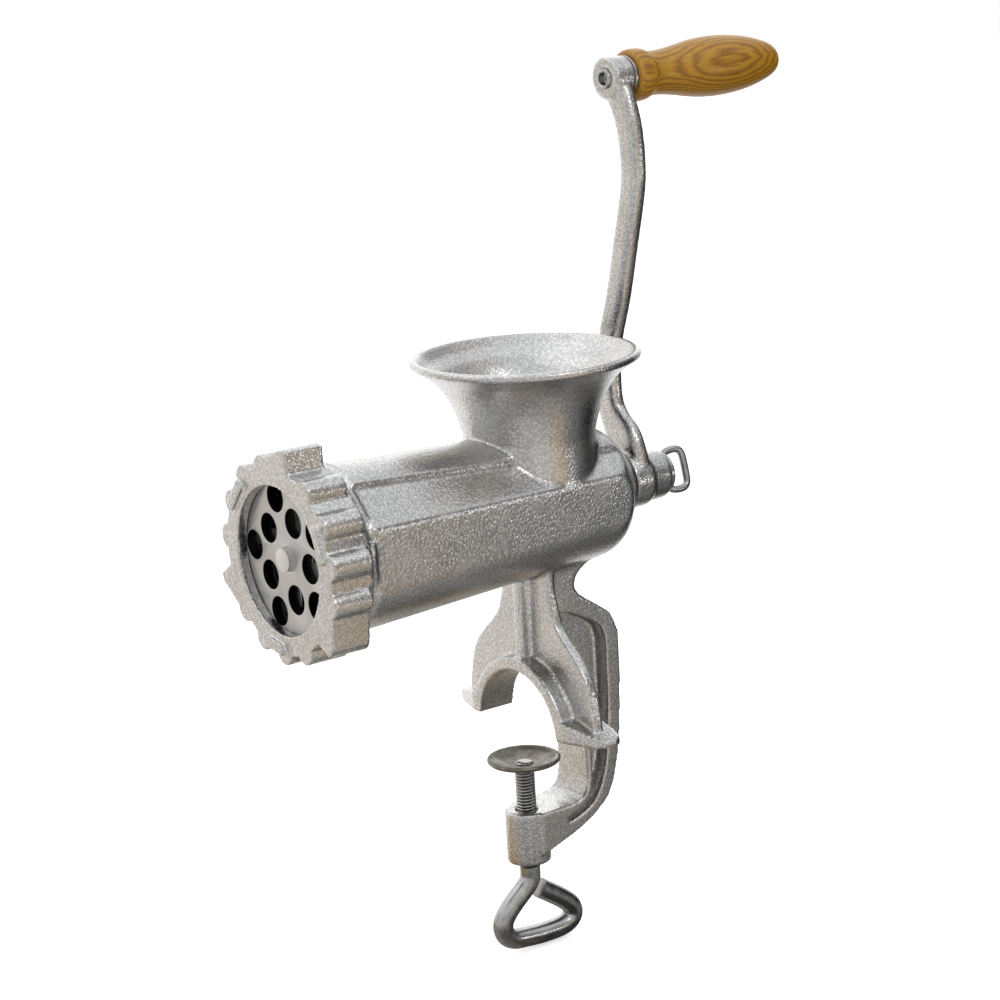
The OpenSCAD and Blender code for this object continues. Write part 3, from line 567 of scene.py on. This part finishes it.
# %% [markdown]
# ### Ground steel
# The plate and knife are hardened and then ground on their flat faces: a dull even grey with fine
# straight scratches from the wheel. The walls of the holes were never ground and keep the black
# scale of the hardening, so the colour goes dark wherever a face doesn't look along the barrel. The
# stud in the middle is bright all round.

# %% Ground steel
def surface_ground_steel():
    material, tree, place = finish_named("surface_ground_steel")
    GRIT, STROKE, STUD_R = 0.25 * MM, 9 * MM, 6 * MM
    drawn = add(tree, "Mapping", Vector=place, Scale=(1 / GRIT, 1 / STROKE, 1 / STROKE)).outputs[0]
    lines = add(tree, "TexNoise", Vector=drawn, Scale=1.0, Detail=3, Roughness=0.6).outputs["Fac"]
    stains = add(tree, "TexNoise", Vector=place, Scale=1 / (12 * MM), Detail=3).outputs["Fac"]
    ground = add(tree, "ValToRGB", stops=((0.35, "#EBEAE8"), (0.7, "#F6F5F3")), Fac=stains).outputs[0]
    facing = add(tree, "SeparateXYZ", i0=add(tree, "TexCoord").outputs["Normal"]).outputs["Y"]
    along = add(tree, "Math", {"operation": "ABSOLUTE"}, i0=facing).outputs[0]
    across = add(tree, "VectorMath", {"operation": "MULTIPLY_ADD"}, i0=place, i1=(1, 0, 1),
                 i2=(0, 0, -axis_z)).outputs[0]
    out = add(tree, "VectorMath", {"operation": "LENGTH"}, i0=across).outputs["Value"]
    stud_only = add(tree, "MapRange", Value=out, i1=STUD_R + 0.4 * MM, i2=STUD_R).outputs[0]
    drilled = add(tree, "ValToRGB", stops=((0.3, 0.02), (0.6, 0.6), (1.0, 0.6)), Fac=along).outputs[0]
    toned = add(tree, "Mix", BLEND, i0=stud_only, i6=drilled, i7=(0.72, 0.72, 0.72, 1)).outputs[2]
    colour = add(tree, "Mix", MULTIPLY, i0=1.0, i6=ground, i7=toned).outputs[2]
    rough = add(tree, "MapRange", Value=lines, i1=0.3, i2=0.7, i3=0.36, i4=0.5).outputs[0]
    relief = add(tree, "Bump", Height=lines, Strength=0.25, Distance=0.03 * MM).outputs[0]
    shader = add(tree, "BsdfPrincipled", Base_Color=colour, Metallic=1.0, Roughness=rough, Normal=relief)
    add(tree, "OutputMaterial", Surface=shader.outputs[0])
    return material


# %% [markdown]
# ### Tinned mild steel
# Screws, washers and the spindle are drawn or turned from mild steel and tinned too. They are
# smoother than the castings, with a soft sheen and faint drawing marks.

# %% Tinned mild steel
def tinned_mild_steel():
    material, tree, place = finish_named("tinned_mild_steel")
    CLOUD, PIT = 5 * MM, 0.7 * MM
    cloud = add(tree, "TexNoise", Vector=place, Scale=1 / CLOUD, Detail=4, Roughness=0.6).outputs["Fac"]
    pits = add(tree, "TexNoise", Vector=place, Scale=1 / PIT, Detail=2).outputs["Fac"]
    colour = add(tree, "ValToRGB", stops=((0.3, "#9A9A9B"), (0.7, "#B8B8B8")), Fac=cloud).outputs[0]
    rough = add(tree, "MapRange", Value=cloud, i1=0.3, i2=0.7, i3=0.18, i4=0.32).outputs[0]
    relief = add(tree, "Bump", Height=pits, Strength=0.5, Distance=0.08 * MM).outputs[0]
    shader = add(tree, "BsdfPrincipled", Base_Color=colour, Metallic=1.0, Roughness=rough, Normal=relief)
    add(tree, "OutputMaterial", Surface=shader.outputs[0])
    return material


# %% [markdown]
# ### Bare pressed steel
# The clamp pad isn't tinned. It is pressed from rolled sheet, dull and darker than the rest, with a
# thin brown oxide in patches.

# %% Bare pressed steel
def bare_pressed_steel():
    material, tree, place = finish_named("bare_pressed_steel")
    RUST = 4 * MM
    cloud = add(tree, "TexNoise", Vector=place, Scale=1 / RUST, Detail=4, Roughness=0.65).outputs["Fac"]
    oxide = ((0.32, "#6F6A60"), (0.55, "#86827A"), (0.7, "#97948D"))
    colour = add(tree, "ValToRGB", stops=oxide, Fac=cloud).outputs[0]
    rough = add(tree, "MapRange", Value=cloud, i1=0.3, i2=0.7, i3=0.5, i4=0.32).outputs[0]
    relief = add(tree, "Bump", Height=cloud, Strength=0.4, Distance=0.08 * MM).outputs[0]
    shader = add(tree, "BsdfPrincipled", Base_Color=colour, Metallic=1.0, Roughness=rough, Normal=relief)
    add(tree, "OutputMaterial", Surface=shader.outputs[0])
    return material


# %% [markdown]
# ### Nylon
# The rear bushing and thrust washer are moulded in black nylon: dark, slightly waxy, never mirror
# bright.

# %% Black nylon
def moulded_black_nylon():
    material, tree, place = finish_named("moulded_black_nylon")
    cloud = add(tree, "TexNoise", Vector=place, Scale=1 / (2 * MM), Detail=3).outputs["Fac"]
    colour = add(tree, "ValToRGB", stops=((0.3, "#1C1C1D"), (0.7, "#2B2A29")), Fac=cloud).outputs[0]
    relief = add(tree, "Bump", Height=cloud, Strength=0.3, Distance=0.05 * MM).outputs[0]
    shader = add(tree, "BsdfPrincipled", Base_Color=colour, Roughness=0.45, Normal=relief)
    add(tree, "OutputMaterial", Surface=shader.outputs[0])
    return material


# %% [markdown]
# ### Lacquered oak
# The grip is ring-porous wood under a yellow lacquer. Growth layers run the length of the grip, and
# where the belly cuts through them they show as long arches, with short dark pores along them. The
# wave pattern repeats every 0.31 of its unit, so a unit of 5 mm sets the layers 1.6 mm apart. The
# lacquer lies over it as a clear coat.

# %% Lacquered oak
def lacquered_oak():
    material, tree, place = finish_named("lacquered_oak")
    UNIT, ARCH, PORE, PORE_LEN = 5 * MM, 70 * MM, 0.4 * MM, 7 * MM
    layers = add(tree, "Mapping", Vector=place, Rotation=(0, math.radians(17), 0),
                 Scale=(1 / UNIT, 1 / ARCH, 1 / UNIT)).outputs[0]
    growth = add(tree, "TexWave", {"bands_direction": "X"}, Vector=layers, Scale=1.0, Distortion=5.0,
                 Detail=2.0, Detail_Scale=1.2, Detail_Roughness=0.6).outputs["Fac"]
    fibres = add(tree, "Mapping", Vector=place, Scale=(1 / PORE, 1 / PORE_LEN, 1 / PORE)).outputs[0]
    pores = add(tree, "TexNoise", Vector=fibres, Scale=1.0, Detail=2, Roughness=0.7).outputs["Fac"]
    tones = ((0.05, "#93640C"), (0.35, "#A9760F"), (0.9, "#B88718"))
    wood = add(tree, "ValToRGB", stops=tones, Fac=growth).outputs[0]
    dark = add(tree, "ValToRGB", stops=((0.36, 0.6), (0.46, 1.0)), Fac=pores).outputs[0]
    colour = add(tree, "Mix", MULTIPLY, i0=0.8, i6=wood, i7=dark).outputs[2]
    relief = add(tree, "Bump", Height=pores, Strength=0.2, Distance=0.06 * MM).outputs[0]
    shader = add(tree, "BsdfPrincipled", Base_Color=colour, Roughness=0.5, Coat_Weight=0.2,
                 Coat_Roughness=0.2, Normal=relief)
    add(tree, "OutputMaterial", Surface=shader.outputs[0])
    return material


# %% [markdown]
# ### Which piece gets which finish
# Each new piece takes the finish that its slot names. The record gives a slot to every CAD piece
# too, so those that stay as they are, and those that a new piece stands for, get the same finish.

# %% Put each finish on its pieces
finishes = {"tinned_iron": tinned_cast_iron(), "ground_steel": surface_ground_steel(),
            "zinc_steel": tinned_mild_steel(), "nylon": moulded_black_nylon(), "oak": lacquered_oak()}
finishes["bare_steel"] = bare_pressed_steel()
for piece, body, node, finish in roles:
    piece.data.materials.clear()
    piece.data.materials.append(finishes[finish])
slots = {part["node"]: part["material_slot"] for part in frame["record"]["subparts"]}
for name, node in frame["nodes"].items():
    if not node.material_slots:
        node.data.materials.append(None)
    for place in node.material_slots:
        place.material = finishes[slots[name]]
print("finishes:", ", ".join(material.name for material in finishes.values()))

# %% [markdown]
# ## Floor and light
# The grinder is shown against plain white, with only its soft shadow on the floor. Tin is nearly a
# mirror, so its tone is the tone of what stands round it. Here that is a room painted by direction:
# pale to the left, light grey in front, grey to the right, nearly black at the back, and warm and
# dim below, with a painted shadow of the grinder on the ground straight below, darkest to the right
# and back. A grey card stands behind the grinder as the photographer sees it and draws a darker line
# along its outlines, and a coarse noise breaks the right side into patches, as the things in a real
# room do. The camera itself never sees these walls, only white.

# %% What the metal sees in each direction
ROOM_LEVEL = 1.35
ROOM = ((-180, "#FFFEFC"), (-158, "#FEFCF9"), (-143, "#D4CDC3"), (-90, "#CDCCCB"), (-40, "#C4C4C3"),
        (0, "#CCCBC8"), (16, "#CDB695"), (32, "#7C7D7E"), (58, "#6E7071"), (80, "#121212"),
        (100, "#2A2A2A"), (122, "#F2F3F3"), (150, "#FFFFFF"), (180, "#FFFEFC"))
GROUND = ((-180, "#DAD3C8"), (-162, "#C0B196"), (-145, "#A08A66"), (-120, "#A28B64"), (-70, "#8F8E8B"),
          (60, "#858582"), (100, "#77736B"), (137, "#928570"), (155, "#BDB3A4"), (180, "#DAD3C8"))
# painted shadow: the ground straight below is darkest to the right and back, where the grinder's shadow
# falls
UNDER_WITH_PAINTED_SHADOW = ((-180, "#A09F9D"), (-100, "#9A9A99"), (-60, "#68635C"), (10, "#56524D"), (45, "#3C3B39"),
         (110, "#3C3B39"), (150, "#8C8A86"), (180, "#A09F9D"))
CARD = (-0.779, 0.552, -0.296)


def surroundings(tree, direction):
    towards = add(tree, "VectorMath", {"operation": "NORMALIZE"}, i0=direction).outputs[0]
    parts = add(tree, "SeparateXYZ", i0=towards).outputs
    angle = add(tree, "Math", {"operation": "ARCTAN2"}, i0=parts["Y"], i1=parts["X"]).outputs[0]
    turn = add(tree, "MapRange", Value=angle, i1=-math.pi, i2=math.pi).outputs[0]
    walls, around, below_with_painted_shadow = [
        add(tree, "ValToRGB", stops=[((degrees + 180) / 360, colour) for degrees, colour in tones],
            Fac=turn).outputs[0] for tones in (ROOM, GROUND, UNDER_WITH_PAINTED_SHADOW)]
    # painted shadow: looking steeply down, the ground turns to the darker tones below the grinder
    steep = add(tree, "MapRange", Value=parts["Z"], i1=-0.6, i2=-0.8).outputs[0]
    ground = add(tree, "Mix", BLEND, i0=steep, i6=around, i7=below_with_painted_shadow).outputs[2]
    above = add(tree, "MapRange", Value=parts["Z"], i1=0.3, i2=0.8).outputs[0]
    room = add(tree, "Mix", BLEND, i0=above, i6=walls, i7=linear("#EEF0F2")).outputs[2]
    below = add(tree, "MapRange", Value=parts["Z"], i1=-0.12, i2=-0.4).outputs[0]
    lit = add(tree, "Mix", BLEND, i0=below, i6=room, i7=ground).outputs[2]
    near_card = add(tree, "VectorMath", {"operation": "DOT_PRODUCT"}, i0=towards,
                    i1=CARD).outputs["Value"]
    card = add(tree, "MapRange", Value=near_card, i1=0.955, i2=0.99).outputs[0]
    edged = add(tree, "Mix", BLEND, i0=card, i6=lit, i7=linear("#8A8884")).outputs[2]
    things = add(tree, "TexNoise", Vector=towards, Scale=4.0, Detail=2, Roughness=0.6).outputs["Fac"]
    patches = add(tree, "ValToRGB", stops=((0.38, 0.5), (0.48, 0.97), (0.6, 1.18)),
                  Fac=things).outputs[0]
    ahead = add(tree, "MapRange", Value=parts["X"], i1=-0.5, i2=0.1, i3=0.1, i4=1.0).outputs[0]
    return add(tree, "Mix", MULTIPLY, i0=ahead, i6=edged, i7=patches).outputs[2]


# %% [markdown]
# ### The floor
# One large plane lies just under the grinder's lowest point. To the camera it is white paper that
# takes the soft shadow. To every other ray it glows with the tone of the painted room in that
# direction, seen from 50 mm above its middle, so the metal reflects it as part of the same room and
# the grinder takes a painted glow of light from below.

# %% White floor that keeps the shadow
low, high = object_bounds()
pick()
bpy.ops.mesh.primitive_plane_add(size=8, location=(0, 0, low[2] - 0.0005))
floor = bpy.context.object
floor.name = "floor"
white, tree, place = finish_named("white_paper")
from_middle = add(tree, "VectorMath", {"operation": "ADD"}, i0=place, i1=(0, 0, -0.05)).outputs[0]
# painted light: to every ray but the camera's the floor glows with the painted room's tones
painted_room_glow = add(tree, "Emission", Color=surroundings(tree, from_middle), Strength=ROOM_LEVEL)
paper = add(tree, "BsdfPrincipled", Base_Color=linear("#F4F4F4"), Roughness=0.9,
            Emission_Color=(1, 1, 1, 1), Emission_Strength=0.55)
seen = add(tree, "LightPath").outputs["Is Camera Ray"]
both = add(tree, "MixShader", i0=seen, i1=painted_room_glow.outputs[0], i2=paper.outputs[0])
add(tree, "OutputMaterial", Surface=both.outputs[0])
floor.data.materials.append(white)
print("floor at z", round(floor.location.z, 4))

# %% [markdown]
# ### Lamps
# Two large soft lamps lift the faces that look up and to the left rear. Two small ones put short
# glints on rims and edges, as bare bulbs in the room would.

# %% Lamps
AIM = Vector((0, -0.02, 0.08))


def lamp(name, place, power, size):
    light = bpy.data.lights.new(name, "AREA")
    light.energy = power
    light.size = size
    holder = bpy.data.objects.new(name, light)
    bpy.context.collection.objects.link(holder)
    holder.location = place
    holder.rotation_euler = (AIM - Vector(place)).to_track_quat("-Z", "Y").to_euler()


lamp("key", (-0.6, -0.5, 1.5), 2.5, 1.4)
lamp("back", (-1.3, 0.95, 0.62), 1.5, 1.2)
lamp("glint", (1.2, 0.2, 1.3), 2, 0.3)
lamp("spark", (1.1, 0.8, 0.08), 0.6, 0.15)
print(len(bpy.data.lights), "lamps aimed at", [round(v, 3) for v in AIM])

# %% [markdown]
# ### The world
# The world shows the same room to every ray but the camera's, which gets plain white.

# %% World
world = bpy.data.worlds.new("studio")
bpy.context.scene.world = world
world.use_nodes = True
tree = world.node_tree
tree.nodes.clear()
walls = add(tree, "Background", Color=surroundings(tree, add(tree, "TexCoord").outputs["Generated"]),
            Strength=ROOM_LEVEL)
blank = add(tree, "Background", Color=(1, 1, 1, 1), Strength=1.0)
seen = add(tree, "LightPath").outputs["Is Camera Ray"]
both = add(tree, "MixShader", i0=seen, i1=walls.outputs[0], i2=blank.outputs[0])
add(tree, "OutputWorld", Surface=both.outputs[0])
print("world:", world.name, "at level", ROOM_LEVEL)

# %% [markdown]
# ## Camera
# The photograph was taken from the right of the plate and a little above, with a long lens. The
# angles, distance and lens were fitted to the outline of the real pieces.

# %% Camera at the photograph's place
azimuth, elevation, roll = math.radians(54.52), math.radians(13.76), math.radians(-3.33)
flat = math.cos(elevation)
back = Vector((math.sin(azimuth) * flat, -math.cos(azimuth) * flat, math.sin(elevation)))
right = Vector((math.cos(azimuth), math.sin(azimuth), 0))
up = back.cross(right)
tilted_right = math.cos(roll) * right + math.sin(roll) * up
tilted_up = -math.sin(roll) * right + math.cos(roll) * up
lens = bpy.data.cameras.new("camera")
lens.lens = 94.14
lens.sensor_width = 36
lens.clip_start = 0.01
camera = bpy.data.objects.new("camera", lens)
bpy.context.collection.objects.link(camera)
camera.matrix_world = Matrix.Translation((0.9086, -0.6525, 0.3786)) @ Matrix(
    (tilted_right, tilted_up, back)).transposed().to_4x4()
bpy.context.scene.camera = camera
bpy.context.scene.view_settings.view_transform = "Standard"
print("camera at", [round(v, 3) for v in camera.matrix_world.translation], "with a lens of",
      round(lens.lens, 2), "mm")
